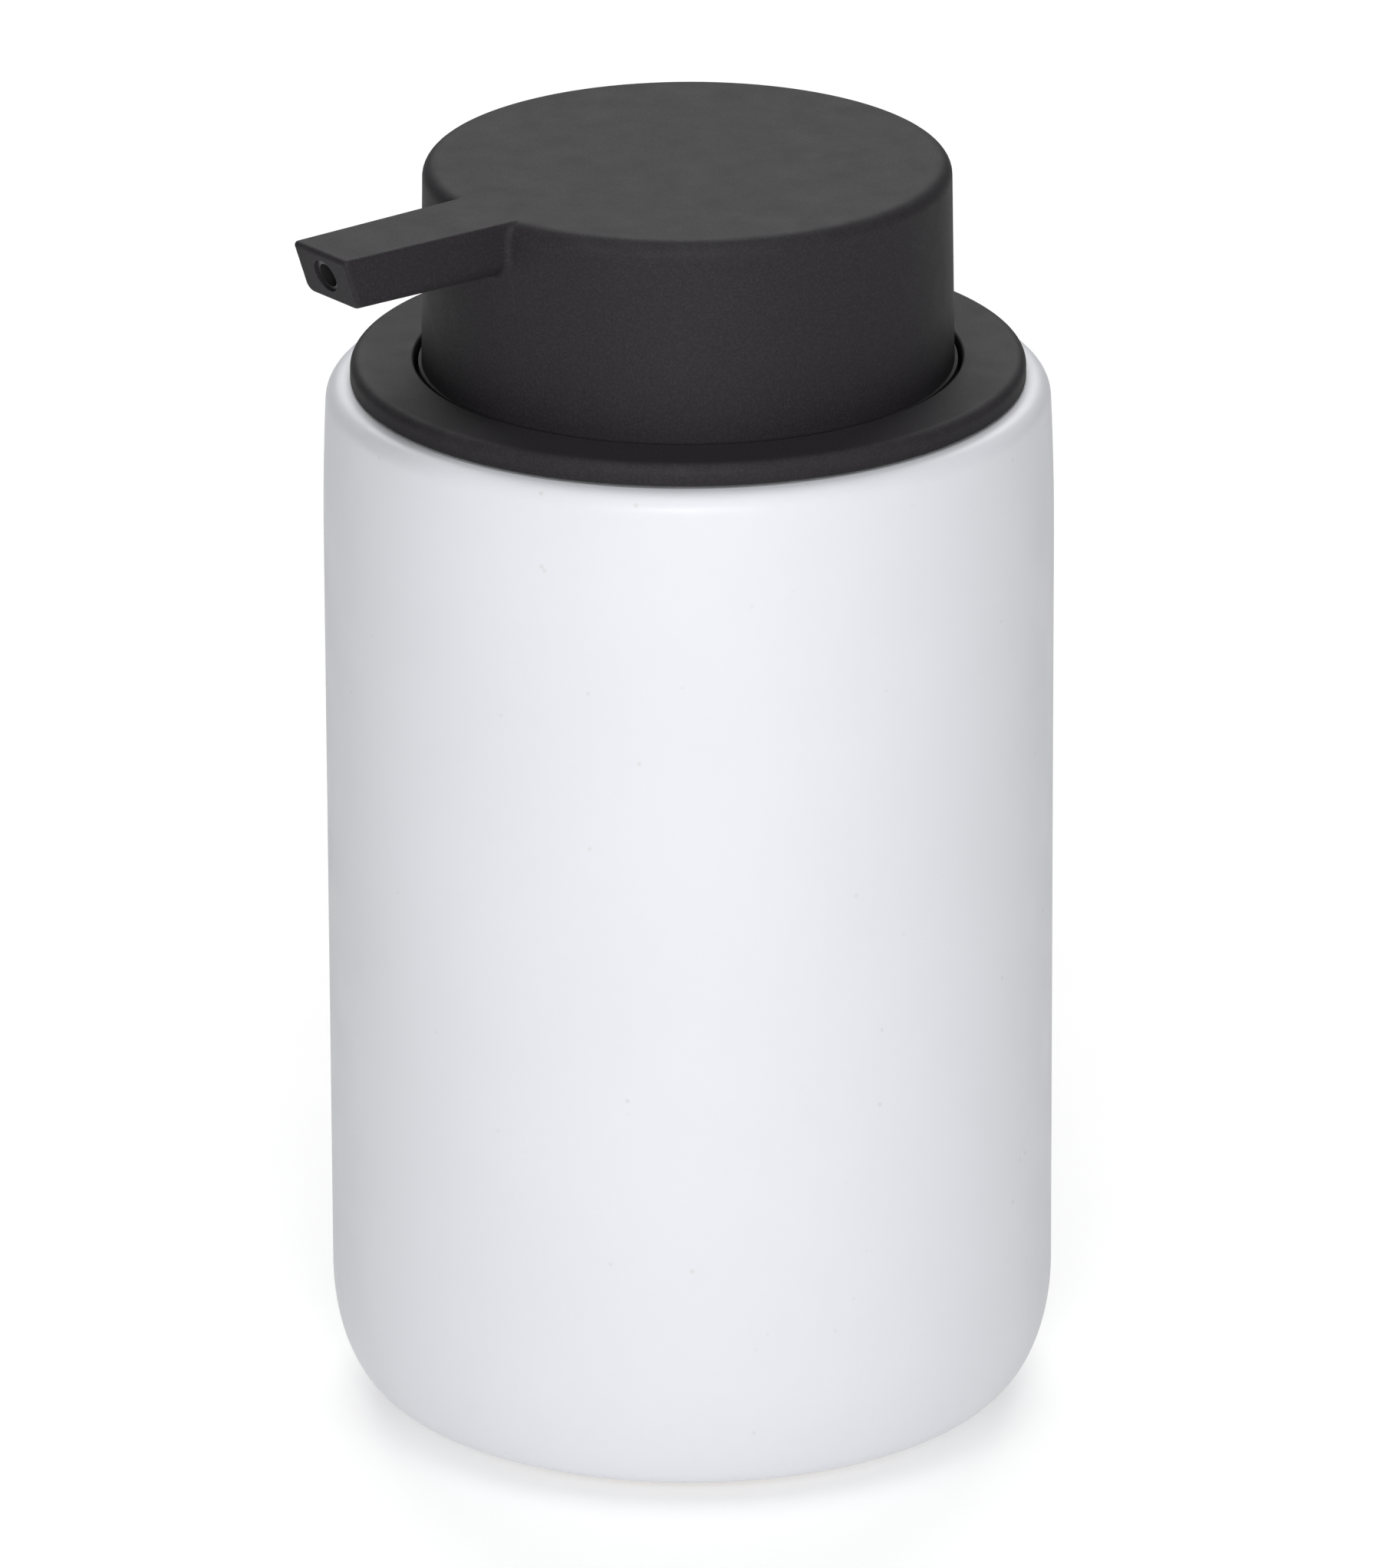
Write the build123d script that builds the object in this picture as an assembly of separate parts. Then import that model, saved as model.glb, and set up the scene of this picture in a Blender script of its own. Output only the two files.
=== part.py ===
from build123d import *
from math import radians, sqrt, tan
import os

# Countertop soap pump dispenser: a stoneware bottle with a lift-out pump lid.
# Millimetres. Origin at the centre of the resting face, +Z up, spout towards -Y.

# Bottle
body_r = 37.5              # straight wall of the stoneware
rim_z = 111.3              # flat rim that the lid lands on
mouth_r = 31.4
wall = 4.2
floor_z = 6.3              # inside floor
underside_z = 2.0
foot_r = 28.3
pad_r = 24.8
pad_thick = 1.8
corner_run = 6.2           # elliptical bottom corner: how far it goes in
corner_rise = 12.4         # and how far it goes up
shoulder_z = 94.6          # the wall leans in above this height
shoulder_lean = 0.46
rim_round = 2.0

# Lid: collar, well and gasket
collar_r = 34.6
collar_hole_r = 28.1
collar_z = 111.6
collar_top_z = 113.8
collar_round = 1.1
well_r = 28.2              # inside of the well
well_wall = 1.4
well_floor_z = 91.0
well_floor_thick = 2.2
flange_r = 33.4
flange_thick = 1.1
seal_gap = 0.08            # gasket lips to the mouth

# Screw neck on the well's floor, and what it clamps
neck_r = 12.0
neck_hole_r = 9.4
neck_top_z = 98.0
gasket_thick = 1.0
housing_flange_thick = 1.4
guide_flange_thick = 1.2
closure_r = 14.6
closure_top_thick = 1.6
grip_ribs = 36

# Pump
cylinder_r = 6.0           # bore of the pump housing
housing_wall = 1.4
shoulder_step_z = 66.0     # the bore steps down to the valve chamber here
chamber_r = 3.0
seat_z = 60.0              # small end of the ball's conical seat
inlet_r = 1.5
tail_z = 48.0
tail_r = 4.2
tube_r = 2.6
tube_bore_r = 1.8
tube_low_z = 9.0
ball_r = 2.4
ball_lift = 1.5
fit_gap = 0.02             # pressed or seated pieces
run_gap = 0.05             # pieces that slide in each other
retainer_thick = 1.2
stroke = 11.0
lost_motion = 1.2          # the seal's free travel on the rod

spring_low_z = shoulder_step_z + retainer_thick
spring_high_z = 86.0
spring_wire = 0.8
spring_r = 4.2             # to the wire's centre
spring_turns = 6.5

rod_flange_r = 5.0
rod_neck_r = 2.8
rod_top_z = 101.0
seal_low_z = 88.0
seal_height = 5.0
stem_r = 3.6
stem_bore_r = 2.3
stem_low_z = seal_low_z + seal_height + lost_motion + run_gap
stem_top_z = 123.5

# Head
head_r = 27.0              # at the top, before the edge is rounded
head_top_z = 134.7
head_low_z = 113.4
side_draft = 0.75             # degrees, wider downwards
head_round = 1.6
head_wall = 1.8
head_top_thick = 1.6
sleeve_r = 27.6
sleeve_low_z = 104.0
web_z = 118.6
web_thick = 1.6
socket_r = 5.6
socket_top_z = 125.0

# Spout
spout_reach = 47.0
spout_root_y = -20.0
spout_tip_width = 8.6
spout_root_width = 9.9
spout_tip_height = 5.5
spout_root_height = 5.95
tip_setback = 1.9          # the end face leans back under the top edge
spout_edge_round = 0.35    # long top edges
junction_round = 0.8       # where the spout grows out of the head
nozzle_axis_z = head_top_z - 2.75
nozzle_r = 1.7
nozzle_bore_r = 1.25
elbow_r = 4.6


def turned(*corners):
    """Solid of revolution about Z from (radius, height) corners."""
    return revolve(Plane.XZ * make_face(Polyline(*corners, close=True)), Axis.Z)


def ring(inner_r, outer_r, low_z, high_z):
    return turned((inner_r, low_z), (outer_r, low_z), (outer_r, high_z), (inner_r, high_z))


def disc(radius, low_z, high_z):
    return Pos(0, 0, low_z) * extrude(Circle(radius), high_z - low_z)


def rounded(profile, radius, *corners):
    """Round the named (radius, height) corners of a flat profile."""
    picked = [v for v in profile.vertices() for c in corners if (Vector(*v) - Vector(*c)).length < 0.01]
    return fillet(picked, radius)


def ceramic_bottle():
    corner_r = body_r - corner_run
    corner_z = underside_z + corner_rise
    rim_r = body_r - shoulder_lean
    lean_r = (rim_z - shoulder_z) ** 2 / (2 * shoulder_lean)
    outline = Curve() + [
        Polyline((0, rim_z), (0, underside_z), (corner_r, underside_z)),
        EllipticalCenterArc((corner_r, corner_z), corner_run, corner_rise, start_angle=-90, arc_size=90),
        Line((body_r, corner_z), (body_r, shoulder_z)),
        RadiusArc((body_r, shoulder_z), (rim_r, rim_z), -lean_r),
        Line((rim_r, rim_z), (0, rim_z)),
    ]
    outside = rounded(make_face(outline), rim_round, (rim_r, rim_z))
    body = revolve(Plane.XZ * outside, Axis.Z)
    body += ring(pad_r + 0.2, foot_r, 0.4, underside_z + 0.5)
    body -= disc(pad_r + 0.2, 0, pad_thick)
    cavity_r = body_r - wall
    hollow = make_face(Polyline((0, floor_z), (cavity_r, floor_z), (cavity_r, 92), (mouth_r, 97),
                                (mouth_r, rim_z + 1), (0, rim_z + 1), close=True))
    hollow = rounded(hollow, 9, (cavity_r, floor_z))
    hollow = rounded(hollow, 3, (cavity_r, 92), (mouth_r, 97))
    body -= revolve(Plane.XZ * hollow, Axis.Z)
    lip = body.edges().filter_by(GeomType.CIRCLE).filter_by(lambda e: abs(e.radius - mouth_r) < 0.01)
    return fillet(lip.sort_by(Axis.Z)[-1], 0.6)


def foot_pad():
    pad = disc(pad_r, 0, pad_thick)
    return fillet(pad.edges().sort_by(Axis.Z)[0], 0.5)


def collar_ring():
    corners = [(collar_hole_r, collar_z + flange_thick), (flange_r, collar_z + flange_thick),
               (flange_r, collar_z), (collar_r, collar_z), (collar_r, collar_top_z),
               (collar_hole_r, collar_top_z)]
    profile = rounded(make_face(Polyline(*corners, close=True)), collar_round, corners[4])
    profile = rounded(profile, 0.3, corners[5])
    return revolve(Plane.XZ * profile, Axis.Z)


def lid_well():
    outer_r = well_r + well_wall
    edge_r = flange_r - run_gap
    base_z = well_floor_z - well_floor_thick
    corners = [(neck_hole_r, base_z), (outer_r, base_z), (outer_r, collar_z), (edge_r, collar_z),
               (edge_r, collar_z + flange_thick), (well_r, collar_z + flange_thick),
               (well_r, well_floor_z), (neck_r, well_floor_z), (neck_r, neck_top_z),
               (neck_hole_r, neck_top_z)]
    profile = rounded(make_face(Polyline(*corners, close=True)), 2.0, corners[1])
    profile = rounded(profile, 1.0, corners[6])
    return revolve(Plane.XZ * profile, Axis.Z)


def mouth_gasket():
    """Silicone sleeve with a thin flange on the rim and three soft lips in the mouth."""
    sleeve_in = well_r + well_wall
    sleeve_out = sleeve_in + 0.9
    gasket = ring(sleeve_in, sleeve_out, 98.0, collar_z)
    gasket += ring(sleeve_in, 34.0, rim_z, collar_z)
    for lip_z in (99.0, 102.6, 106.2):
        gasket += turned((sleeve_in, lip_z), (sleeve_out, lip_z), (mouth_r - seal_gap, lip_z + 1.1),
                         (mouth_r - seal_gap, lip_z + 1.5), (sleeve_in, lip_z + 1.8))
    return gasket


def neck_gasket():
    return ring(neck_hole_r, neck_r, neck_top_z, neck_top_z + gasket_thick)


def pump_closure():
    """Screw cap that clamps the pump to the neck, with a ribbed grip."""
    inner_top_z = neck_top_z + gasket_thick + housing_flange_thick + guide_flange_thick
    top_z = inner_top_z + closure_top_thick
    low_z = well_floor_z + 1.0
    corners = [(neck_r + 0.2, low_z), (closure_r, low_z), (closure_r, top_z), (6.7, top_z),
               (6.7, inner_top_z), (neck_r + 0.2, inner_top_z)]
    profile = rounded(make_face(Polyline(*corners, close=True)), 0.8, corners[2])
    cap = revolve(Plane.XZ * profile, Axis.Z)
    rib = Pos(closure_r, 0, (low_z + top_z) / 2) * Box(0.8, 0.9, top_z - low_z - 2.4)
    return cap + [Rot(0, 0, 360 * n / grip_ribs) * rib for n in range(grip_ribs)]


def pump_housing():
    """Stepped pump cylinder: clamp flange, bore, valve chamber, ball seat and tail for the dip tube."""
    outer_r = cylinder_r + housing_wall
    flange_low_z = neck_top_z + gasket_thick
    flange_top_z = flange_low_z + housing_flange_thick
    seat_rise = chamber_r - inlet_r
    shell = turned((0, tail_z), (tail_r, tail_z), (tail_r, seat_z + 1), (outer_r, shoulder_step_z - 2),
                   (outer_r, flange_low_z), (neck_r, flange_low_z), (neck_r, flange_top_z),
                   (0, flange_top_z))
    tube_stop_z = seat_z - 2
    shell -= turned((0, tail_z - 1), (tube_r + fit_gap, tail_z - 1), (tube_r + fit_gap, tube_stop_z),
                    (inlet_r, tube_stop_z), (inlet_r, seat_z), (chamber_r, seat_z + seat_rise),
                    (chamber_r, shoulder_step_z), (cylinder_r, shoulder_step_z),
                    (cylinder_r, flange_top_z + 1), (0, flange_top_z + 1))
    vent = Pos(0, 0, flange_low_z - 3) * Rot(0, 90, 0) * Cylinder(0.5, 4 * cylinder_r)
    return shell - vent


def ball_retainer():
    """Pierced disc over the valve chamber that holds the ball in and seats the spring."""
    seat = disc(cylinder_r - fit_gap, shoulder_step_z, shoulder_step_z + retainer_thick)
    seat += ring(1.4, 2.6, shoulder_step_z, shoulder_step_z + 2.4)
    slot = Pos(2.9, 0, shoulder_step_z) * Box(1.2, 2.0, 8)
    return seat - [Rot(0, 0, 90 * n) * slot for n in range(4)]


def dip_tube():
    """Straight suction tube with a slanted foot so that it can't seal against the floor."""
    tube = ring(tube_bore_r, tube_r, tube_low_z, seat_z - 2)
    foot_cut = Pos(0, 0, tube_low_z) * Rot(35, 0, 0) * Pos(0, 0, -5) * Box(30, 30, 10)
    return tube - foot_cut


def check_ball():
    """Ball just clear of its 45 degree seat."""
    apex_z = seat_z - inlet_r
    centre_z = apex_z + ball_r * sqrt(2) + fit_gap
    return Pos(0, 0, centre_z) * Sphere(ball_r)


def return_spring():
    coil_low_z = spring_low_z + spring_wire / 2
    coil_high_z = spring_high_z - spring_wire / 2
    coil_height = coil_high_z - coil_low_z
    path = Pos(0, 0, coil_low_z) * Helix(coil_height / spring_turns, coil_height, spring_r)
    section = Plane(path @ 0, z_dir=path % 0) * Circle(spring_wire / 2)
    coil = sweep(section, path, is_frenet=True)
    end_ring = Torus(spring_r, spring_wire / 2)
    return coil + Pos(0, 0, coil_low_z) * end_ring + Pos(0, 0, coil_high_z) * end_ring


def piston_rod():
    """Spring seat, shut-off shoulder, ported neck and the hollow shank pressed into the stem."""
    shank_r = stem_bore_r - fit_gap
    rod = turned((0, spring_high_z - 2.5), (2.6, spring_high_z - 2.5), (3.0, spring_high_z),
                 (rod_flange_r, spring_high_z), (rod_flange_r, spring_high_z + 1.2),
                 (rod_neck_r + 1.2, seal_low_z), (rod_neck_r, seal_low_z),
                 (rod_neck_r, stem_low_z), (shank_r, stem_low_z), (shank_r, rod_top_z), (0, rod_top_z))
    rod -= disc(1.2, seal_low_z + 0.1, rod_top_z + 1)
    port = Pos(0, 0, seal_low_z + 0.65) * Rot(0, 90, 0) * Cylinder(0.45, 4 * rod_neck_r)
    return rod - port - Rot(0, 0, 90) * port


def piston_seal():
    """Sliding seal: a bushing on the rod with one lip up and one lip down against the bore."""
    lip_r = cylinder_r - run_gap
    inner_r = rod_neck_r + run_gap
    top_z = seal_low_z + seal_height
    middle_z = (seal_low_z + top_z) / 2
    return turned((inner_r, seal_low_z), (inner_r + 1.1, seal_low_z), (inner_r + 1.1, middle_z - 0.7),
                  (lip_r - 0.7, seal_low_z + 0.2), (lip_r, seal_low_z + 0.2), (lip_r - 0.5, middle_z),
                  (lip_r, top_z - 0.2), (lip_r - 0.7, top_z - 0.2), (inner_r + 1.1, middle_z + 0.7),
                  (inner_r + 1.1, top_z), (inner_r, top_z))


def stem_guide():
    """Guide bush that closes the cylinder and keeps the stem upright."""
    bore_r = stem_r + run_gap
    flange_z = neck_top_z + gasket_thick + housing_flange_thick
    tower_z = flange_z + guide_flange_thick
    return turned((bore_r, 95.4), (cylinder_r - fit_gap, 95.4), (cylinder_r - fit_gap, flange_z),
                  (neck_r - 0.2, flange_z), (neck_r - 0.2, tower_z), (6.4, tower_z), (6.0, 106.6),
                  (5.6, 107.0), (bore_r, 107.0))


def pump_stem():
    return ring(stem_bore_r, stem_r, stem_low_z, stem_top_z)


def spout_section(width, height, round_r, y):
    """Spout cross-section, flat top and rounded lower edges, standing across Y."""
    shape = Pos(0, head_top_z - height / 2) * Rectangle(width, height)
    lower = shape.vertices().sort_by(Axis.Y)[:2]
    return Plane((0, y, 0), x_dir=(1, 0, 0), z_dir=(0, -1, 0)) * fillet(lower, round_r)


def spout():
    """Tapered spout with its end face leaning back under the top edge."""
    blank_y = -spout_reach - 2.0
    bar = loft([spout_section(spout_root_width, spout_root_height, 2.2, spout_root_y),
                spout_section(spout_tip_width, spout_tip_height, 0.9, blank_y)])
    lean = tip_setback / spout_tip_height
    low_z = head_top_z - 10
    high_z = head_top_z + 5
    beyond = Plane.YZ * make_face(Polyline(
        (-spout_reach + lean * (head_top_z - low_z), low_z), (-spout_reach - lean * 5, high_z),
        (-spout_reach - 20, high_z), (-spout_reach - 20, low_z), close=True))
    bar -= extrude(beyond, 20, both=True)
    bar = fillet(bar.faces().sort_by(Axis.Y)[0].edges(), 0.45)
    top_edges = bar.faces().sort_by(Axis.Z)[-1].edges()
    long_edges = [e for e in top_edges if abs(e.center().X) > 3 and e.length > 15]
    return fillet(long_edges, spout_edge_round)


def head_cap():
    """Press cap: drafted side, flat top with a rounded edge, and the spout flush with the top."""
    flare = (head_top_z - head_low_z) * tan(radians(side_draft))
    outline = make_face(Polyline((0, head_low_z), (head_r + flare, head_low_z), (head_r, head_top_z),
                                 (0, head_top_z), close=True))
    outline = rounded(outline, head_round, (head_r, head_top_z))
    drum = revolve(Plane.XZ * outline, Axis.Z)
    bar = spout()
    cap = drum + bar
    cap = fillet(new_edges(drum, bar, combined=cap), junction_round)
    inner_top_z = head_top_z - head_top_thick
    room = make_face(Polyline((0, head_low_z - 1), (head_r + flare - head_wall, head_low_z - 1),
                              (head_r - head_wall, inner_top_z), (0, inner_top_z), close=True))
    room = rounded(room, 1.2, (head_r - head_wall, inner_top_z))
    cap -= revolve(Plane.XZ * room, Axis.Z)
    nozzle_hole = Pos(0, -30, nozzle_axis_z) * Rot(90, 0, 0) * Cylinder(nozzle_r + fit_gap, 60)
    return cap - nozzle_hole


def head_base():
    """Inner base of the head: guide sleeve, snap spigot, ribbed web and the stem's socket."""
    spigot_r = head_r - head_wall - 0.1
    base = turned((sleeve_r - 1.4, sleeve_low_z), (sleeve_r, sleeve_low_z), (sleeve_r, head_low_z),
                  (spigot_r, head_low_z), (spigot_r, web_z + web_thick), (socket_r, web_z + web_thick),
                  (socket_r, socket_top_z), (stem_r + fit_gap, socket_top_z), (stem_r + fit_gap, web_z),
                  (spigot_r - 1.2, web_z), (spigot_r - 1.2, head_low_z - 1.2),
                  (sleeve_r - 1.4, head_low_z - 1.2))
    rib_length = spigot_r - socket_r
    rib = Pos(socket_r + rib_length / 2 - 0.3, 0, web_z + web_thick + 1.2) * Box(rib_length, 1.2, 2.6)
    return base + [Rot(0, 0, 30 + 60 * n) * rib for n in range(6)]


def outlet_elbow():
    """Turns the flow from the stem into the nozzle tube."""
    block = disc(stem_r, stem_top_z, socket_top_z) + disc(elbow_r, socket_top_z, 133.0)
    snout = Pos(0, -4.0, nozzle_axis_z) * Rot(90, 0, 0) * Cylinder(3.0, 8.0)
    block += snout & (Pos(0, 0, 128.0) * Box(40, 40, 10))
    block -= disc(stem_bore_r, stem_top_z - 1, nozzle_axis_z)
    block -= Pos(0, -6, nozzle_axis_z) * Rot(90, 0, 0) * Cylinder(nozzle_bore_r, 12)
    return block - Pos(0, -7.5, nozzle_axis_z) * Rot(90, 0, 0) * Cylinder(nozzle_r + fit_gap, 10)


def nozzle_tube():
    """Outlet tube through the spout, cut to the slant of the end face just inside it."""
    lean = tip_setback / spout_tip_height
    tip_y = -spout_reach + lean * (head_top_z - nozzle_axis_z) + 0.35
    bend_y = -2.5
    blank = Pos(0, (tip_y - 3 + bend_y) / 2, nozzle_axis_z) * Rot(90, 0, 0)
    length = bend_y - tip_y + 3
    tube = blank * Cylinder(nozzle_r, length) - blank * Cylinder(nozzle_bore_r, length + 1)
    beyond = Plane.YZ * make_face(Polyline(
        (tip_y + lean * 6, nozzle_axis_z - 6), (tip_y - lean * 6, nozzle_axis_z + 6),
        (tip_y - 20, nozzle_axis_z + 6), (tip_y - 20, nozzle_axis_z - 6), close=True))
    return tube - extrude(beyond, 10, both=True)


pieces = [
    ceramic_bottle, foot_pad,
    collar_ring, lid_well, mouth_gasket, neck_gasket, pump_closure, stem_guide,
    pump_housing, ball_retainer, dip_tube, check_ball,
    return_spring, piston_seal, piston_rod, pump_stem,
    head_cap, head_base, outlet_elbow, nozzle_tube,
]

os.makedirs("parts", exist_ok=True)
for piece in pieces:
    export_step(piece(), f"parts/{piece.__name__}.step")
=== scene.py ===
import math

import bmesh
import bpy
from mathutils import Matrix, Vector


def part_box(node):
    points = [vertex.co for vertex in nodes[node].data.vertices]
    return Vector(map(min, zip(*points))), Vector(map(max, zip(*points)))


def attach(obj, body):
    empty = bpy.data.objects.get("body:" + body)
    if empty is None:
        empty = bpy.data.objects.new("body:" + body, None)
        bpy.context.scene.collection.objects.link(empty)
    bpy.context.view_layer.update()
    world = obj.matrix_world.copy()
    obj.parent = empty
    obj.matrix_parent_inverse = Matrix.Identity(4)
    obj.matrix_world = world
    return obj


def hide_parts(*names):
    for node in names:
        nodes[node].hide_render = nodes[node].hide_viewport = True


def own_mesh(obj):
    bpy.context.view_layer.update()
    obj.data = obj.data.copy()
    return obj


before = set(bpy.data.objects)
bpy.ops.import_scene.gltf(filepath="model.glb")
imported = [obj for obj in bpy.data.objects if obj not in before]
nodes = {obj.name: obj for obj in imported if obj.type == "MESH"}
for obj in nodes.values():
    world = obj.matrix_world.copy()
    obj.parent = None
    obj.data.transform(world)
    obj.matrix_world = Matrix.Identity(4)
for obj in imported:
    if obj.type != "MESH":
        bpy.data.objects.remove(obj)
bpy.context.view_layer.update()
scene = bpy.context.scene
mm = 0.001
print("frame loaded:", len(nodes), "nodes")

cameraSettings = {
    "azimuth": 52.0,       # degrees round from the spout
    "elevation": 20.52,
    "roll": -0.26,
    "distance": 1.62,      # metres from the point it looks at
    "aimHeight": 0.0668,
    "lens": 359.9,
    "sensor": 36,
    "farthest": 50,
}

# degrees round from the camera, elevation, distance, width, height, watts
lightSettings = {
    "frontSoftbox": (0, 20, 1.5, 0.6, 0.6, 14.5),
    "frontOverhead": (0, 72, 1.4, 1.2, 1.2, 11.4),
    "backWall": (180, 40, 1.7, 1.4, 0.8, 17.4),
}

roomSettings = {
    "seenBehind": 0.95,    # brightness of the room where the camera sees past the floor
    "roomLight": 0.0,      # what the room itself adds to the lamps
    "floorGlow": 0.42,     # the floor is a lit sheet, which softens the shadow at the foot
    "floorRadius": 6.0,
    "floorSides": 96,
    "floorDrop": 0.02 * mm,  # keeps the floor from lying in the same plane as the foot pad
}


def turnTo(azimuth, elevation):
    turn, tilt = math.radians(azimuth), math.radians(elevation)
    flat = math.cos(tilt)
    back = Vector((math.sin(turn) * flat, -math.cos(turn) * flat, math.sin(tilt)))
    right = Vector((math.cos(turn), math.sin(turn), 0))
    return Matrix((right, back.cross(right), back)).transposed(), back


def setUpCamera(settings):
    data = bpy.data.cameras.new("counterCamera")
    data.lens = settings["lens"]
    data.sensor_width = settings["sensor"]
    data.clip_end = settings["farthest"]
    axes, back = turnTo(settings["azimuth"], settings["elevation"])
    roll = Matrix.Rotation(math.radians(settings["roll"]), 3, "Z")
    place = Vector((0, 0, settings["aimHeight"])) + back * settings["distance"]
    camera = bpy.data.objects.new("counterCamera", data)
    camera.matrix_world = Matrix.Translation(place) @ (axes @ roll).to_4x4()
    scene.collection.objects.link(camera)
    scene.camera = camera


def setUpLights(settings):
    for name, (azimuth, elevation, distance, width, height, watts) in settings.items():
        data = bpy.data.lights.new(name, "AREA")
        data.shape = "RECTANGLE"
        data.size = width
        data.size_y = height
        data.energy = watts
        axes, back = turnTo(cameraSettings["azimuth"] + azimuth, elevation)
        light = bpy.data.objects.new(name, data)
        light.matrix_world = Matrix.Translation(back * distance) @ axes.to_4x4()
        light.visible_camera = False
        scene.collection.objects.link(light)


def setUpRoom(settings, floorFinish):
    world = bpy.data.worlds.new("paleRoom")
    scene.world = world
    world.use_nodes = True
    seen = world.node_tree.nodes.new("ShaderNodeLightPath")
    level = world.node_tree.nodes.new("ShaderNodeMapRange")
    level.inputs["To Min"].default_value = settings["roomLight"]
    level.inputs["To Max"].default_value = settings["seenBehind"]
    background = world.node_tree.nodes["Background"]
    background.inputs["Color"].default_value = (1, 1, 1, 1)
    world.node_tree.links.new(seen.outputs["Is Camera Ray"], level.inputs["Value"])
    world.node_tree.links.new(level.outputs["Result"], background.inputs["Strength"])
    disc = bmesh.new()
    bmesh.ops.create_circle(disc, cap_ends=True, segments=settings["floorSides"],
                            radius=settings["floorRadius"])
    mesh = bpy.data.meshes.new("paleFloor")
    disc.to_mesh(mesh)
    disc.free()
    mesh.materials.append(floorFinish)
    floor = bpy.data.objects.new("paleFloor", mesh)
    floor.location.z = -settings["floorDrop"]
    scene.collection.objects.link(floor)
    scene.view_settings.view_transform = "Standard"


# every pattern is read from Object coordinates, in metres
class Finish:
    def __init__(self, name, **sockets):
        self.material = bpy.data.materials.new(name)
        self.material.use_nodes = True
        self.tree = self.material.node_tree
        self.shader = self.tree.nodes["Principled BSDF"]
        self.coordinates = self.tree.nodes.new("ShaderNodeTexCoord").outputs["Object"]
        self.lastNormal = None
        for socket, value in sockets.items():
            self.shader.inputs[socket.replace("_", " ")].default_value = value

    def plug(self, value, socket):
        if isinstance(value, bpy.types.NodeSocket):
            self.tree.links.new(value, socket)
        elif isinstance(value, tuple):
            socket.default_value = (*value, 1)
        else:
            socket.default_value = value

    def noise(self, scale, detail=3, roughness=0.55, stretch=(1, 1, 1)):
        mapping = self.tree.nodes.new("ShaderNodeMapping")
        mapping.inputs["Scale"].default_value = stretch
        self.plug(self.coordinates, mapping.inputs["Vector"])
        texture = self.tree.nodes.new("ShaderNodeTexNoise")
        self.plug(mapping.outputs["Vector"], texture.inputs["Vector"])
        texture.inputs["Scale"].default_value = scale
        texture.inputs["Detail"].default_value = detail
        texture.inputs["Roughness"].default_value = roughness
        return texture.outputs["Fac"]

    def specks(self, scale):
        texture = self.tree.nodes.new("ShaderNodeTexVoronoi")
        texture.inputs["Scale"].default_value = scale
        self.plug(self.coordinates, texture.inputs["Vector"])
        return texture.outputs["Distance"]

    def fit(self, value, low, high, newLow=0.0, newHigh=1.0):
        node = self.tree.nodes.new("ShaderNodeMapRange")
        self.plug(value, node.inputs["Value"])
        limits = {"From Min": low, "From Max": high, "To Min": newLow, "To Max": newHigh}
        for socket, number in limits.items():
            node.inputs[socket].default_value = number
        return node.outputs["Result"]

    def height(self):
        node = self.tree.nodes.new("ShaderNodeSeparateXYZ")
        self.plug(self.coordinates, node.inputs["Vector"])
        return node.outputs["Z"]

    def product(self, first, second):
        node = self.tree.nodes.new("ShaderNodeMath")
        node.operation = "MULTIPLY"
        self.plug(first, node.inputs[0])
        self.plug(second, node.inputs[1])
        return node.outputs["Value"]

    def nearRing(self, radius, height, reach, core=0.15):
        # 1 close to a circle round the bottle's axis, fading to 0 at reach from it
        flat = self.tree.nodes.new("ShaderNodeVectorMath")
        flat.operation = "MULTIPLY"
        self.plug(self.coordinates, flat.inputs[0])
        flat.inputs[1].default_value = (1, 1, 0)
        length = self.tree.nodes.new("ShaderNodeVectorMath")
        length.operation = "LENGTH"
        self.plug(flat.outputs["Vector"], length.inputs[0])
        joined = self.tree.nodes.new("ShaderNodeCombineXYZ")
        self.plug(length.outputs["Value"], joined.inputs["X"])
        self.plug(self.height(), joined.inputs["Y"])
        away = self.tree.nodes.new("ShaderNodeVectorMath")
        away.operation = "DISTANCE"
        self.plug(joined.outputs["Vector"], away.inputs[0])
        away.inputs[1].default_value = (radius, height, 0)
        return self.fit(away.outputs["Value"], core * reach, reach, 1, 0)

    def mix(self, factor, first, second):
        node = self.tree.nodes.new("ShaderNodeMix")
        node.data_type = "RGBA"
        self.plug(factor, node.inputs["Factor"])
        self.plug(first, node.inputs[6])
        self.plug(second, node.inputs[7])
        return node.outputs[2]

    def colour(self, value):
        self.plug(value, self.shader.inputs["Base Color"])

    def roughness(self, value):
        self.plug(value, self.shader.inputs["Roughness"])

    def bump(self, value, depth, strength=1.0):
        node = self.tree.nodes.new("ShaderNodeBump")
        node.inputs["Distance"].default_value = depth
        node.inputs["Strength"].default_value = strength
        self.plug(value, node.inputs["Height"])
        if self.lastNormal:
            self.plug(self.lastNormal, node.inputs["Normal"])
        self.lastNormal = node.outputs["Normal"]
        self.plug(self.lastNormal, self.shader.inputs["Normal"])


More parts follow.
